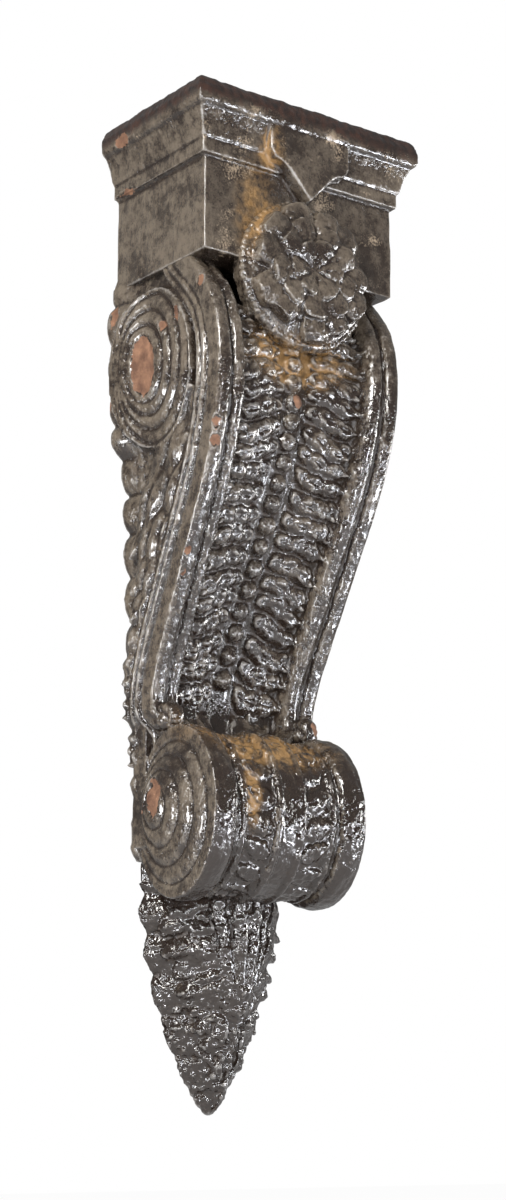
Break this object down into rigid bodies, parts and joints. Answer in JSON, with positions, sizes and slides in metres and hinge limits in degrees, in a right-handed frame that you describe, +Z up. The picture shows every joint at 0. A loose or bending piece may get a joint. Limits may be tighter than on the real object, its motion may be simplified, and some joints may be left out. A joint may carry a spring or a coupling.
{
  "type": "carved stone corbel",
  "caption": "Tall carved scroll corbel with a moulded top block, a petalled boss, a beaded leaf panel, a roll and a pendant leaf.",
  "frame": {"origin": "middle of the flat wall face, on the centre line at half the height", "axes": "+Z up along the height, +Y into the wall, -Y to the front, X across the width"},
  "size_m": [0.26, 0.1749, 0.918],
  "materials": {
    "black_paint": "thick, lumpy black gloss paint over carved red sandstone, worn brown on the block and dusty in the hollows",
    "bare_stone": "dull orange-brown stone where the paint has come off"
  },
  "bodies": {
    "root": {"corbel": "black_paint"}
  },
  "joints": []
}
